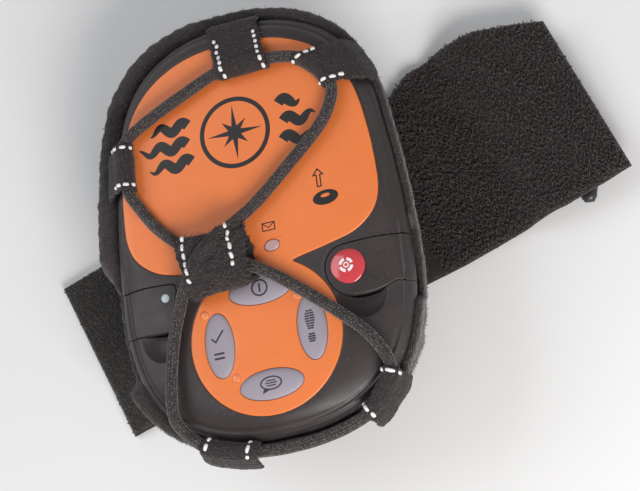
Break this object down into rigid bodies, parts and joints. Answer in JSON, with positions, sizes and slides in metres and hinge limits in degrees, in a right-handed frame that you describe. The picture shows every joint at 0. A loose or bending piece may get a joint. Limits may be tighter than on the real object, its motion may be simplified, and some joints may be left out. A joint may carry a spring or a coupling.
{
  "type": "emergency position beacon",
  "caption": "Handheld satellite distress beacon with an orange front plate, four oval keys and two guarded buttons, held in an arm-strap carrier by an elastic cord.",
  "frame": {"origin": "on the arm side of the strap, under the middle of the beacon housing", "axes": "+Z out of the front plate, +Y towards the antenna end of the housing, +X to the right of the keys with the antenna end up"},
  "size_m": [0.1366, 0.1021, 0.0371],
  "materials": {
    "case": "satin, rubbery, dark warm grey",
    "rear": "satin, moulded dark grey",
    "orange": "smooth semi-gloss orange",
    "key": "satin grey-lavender silicone rubber",
    "seal": "smooth silicone",
    "mat": "smooth silicone",
    "red": "glossy red dome",
    "mark": "satin",
    "amber": "translucent amber light guide",
    "lens": "frosted light guide",
    "pcb": "solder mask",
    "tin": "tinned sheet",
    "ceramic": "fired ceramic with a metallised patch",
    "connector": "moulded",
    "chip": "clear moulded",
    "steel": "turned stainless steel",
    "spring": "nickel-plated wire and strip",
    "cell": "plain printed sleeve",
    "pad": "padded spacer mesh with fine specks",
    "binding": "fuzzy bound mesh edge",
    "webbing": "ribbed black webbing with white stitching",
    "loop": "loop pile",
    "hook": "hook pile",
    "cord": "braided elastic",
    "ring": "moulded black acetal"
  },
  "bodies": {
    "housing": {"rear_case": "rear", "front_case": "case", "case_seal": "seal", "faceplate": "orange", "keypad_mat": "mat", "dome_switches": "tin", "keypad_board": "pcb", "board_connector": "connector", "main_board": "pcb", "rf_shield": "tin", "gps_antenna": "ceramic", "transmit_antenna": "ceramic", "status_leds": "chip", "indicator_lenses": "amber", "message_lens": "lens", "sos_hinge_pin": "steel", "help_hinge_pin": "steel", "battery_left": "cell", "battery_centre": "cell", "battery_right": "cell", "contact_springs": "spring", "contact_plates": "spring", "battery_door": "rear", "door_seal": "seal", "case_screws": "steel", "board_screws": "steel", "carrier_cup": "pad", "rim_binding": "binding", "strap_centre": "loop", "elastic_cord": "cord", "centre_sleeve": "webbing", "top_tab": "webbing", "upper_left_tab": "webbing", "upper_right_tab": "webbing", "lower_right_tab": "webbing", "bottom_tab": "webbing"},
    "power_key": {"power_key": "key"},
    "check_key": {"check_key": "key"},
    "track_key": {"track_key": "key"},
    "message_key": {"message_key": "key"},
    "sos_button": {"sos_button": "red"},
    "help_button": {"help_button": "mark"},
    "sos_cover": {"sos_cover": "case", "sos_dome": "red"},
    "help_cover": {"help_cover": "case", "help_mark": "mark"},
    "door_latch_top": {"door_latch_top": "steel"},
    "door_latch_bottom": {"door_latch_bottom": "steel"},
    "strap_wing": {"strap_wing": "loop", "ring_keeper": "webbing"},
    "buckle_ring": {"buckle_ring": "ring"},
    "strap_tail": {"strap_tail": "hook", "hook_patch": "hook"}
  },
  "joints": [
    {"name": "power_key_press", "type": "slide", "parent": "housing", "child": "power_key", "axis": [0, 0, -1], "range_m": [0, 0.0005], "stiffness_N_per_m": 350, "springref_m": -0.001},
    {"name": "check_key_press", "type": "slide", "parent": "housing", "child": "check_key", "axis": [0, 0, -1], "range_m": [0, 0.0005], "stiffness_N_per_m": 350, "springref_m": -0.001},
    {"name": "track_key_press", "type": "slide", "parent": "housing", "child": "track_key", "axis": [0, 0, -1], "range_m": [0, 0.0005], "stiffness_N_per_m": 350, "springref_m": -0.001},
    {"name": "message_key_press", "type": "slide", "parent": "housing", "child": "message_key", "axis": [0, 0, -1], "range_m": [0, 0.0005], "stiffness_N_per_m": 350, "springref_m": -0.001},
    {"name": "sos_button_press", "type": "slide", "parent": "housing", "child": "sos_button", "axis": [0, 0, -1], "range_m": [0, 0.0005], "stiffness_N_per_m": 450, "springref_m": -0.001},
    {"name": "help_button_press", "type": "slide", "parent": "housing", "child": "help_button", "axis": [0, 0, -1], "range_m": [0, 0.0005], "stiffness_N_per_m": 450, "springref_m": -0.001},
    {"name": "sos_cover_hinge", "type": "hinge", "parent": "housing", "child": "sos_cover", "pos_m": [0.0312, -0.0141, 0.0235], "axis": [0, 1, 0], "range_deg": [0, 110]},
    {"name": "help_cover_hinge", "type": "hinge", "parent": "housing", "child": "help_cover", "pos_m": [-0.0312, -0.0141, 0.0235], "axis": [0, -1, 0], "range_deg": [0, 110], "deforming": ["elastic_cord"]},
    {"name": "door_latch_top_turn", "type": "hinge", "parent": "housing", "child": "door_latch_top", "pos_m": [0, 0.0306, 0.006], "axis": [0, 0, 1], "range_deg": [0, 90]},
    {"name": "door_latch_bottom_turn", "type": "hinge", "parent": "housing", "child": "door_latch_bottom", "pos_m": [0, -0.0296, 0.006], "axis": [0, 0, 1], "range_deg": [0, 90]},
    {"name": "strap_wing_bend", "type": "hinge", "parent": "housing", "child": "strap_wing", "pos_m": [0.0324, 0.00807, 0.001], "axis": [-0.342, 0.9397, 0], "range_deg": [-25, 90]},
    {"name": "strap_tail_bend", "type": "hinge", "parent": "housing", "child": "strap_tail", "pos_m": [-0.03555, -0.01081, 0.001], "axis": [-0.342, 0.9397, 0], "range_deg": [-90, 60]},
    {"name": "buckle_ring_swivel", "type": "hinge", "parent": "strap_wing", "child": "buckle_ring", "pos_m": [0.06014, 0.01896, 0.0023], "axis": [-0.342, 0.9397, 0], "range_deg": [0, 110]}
  ]
}
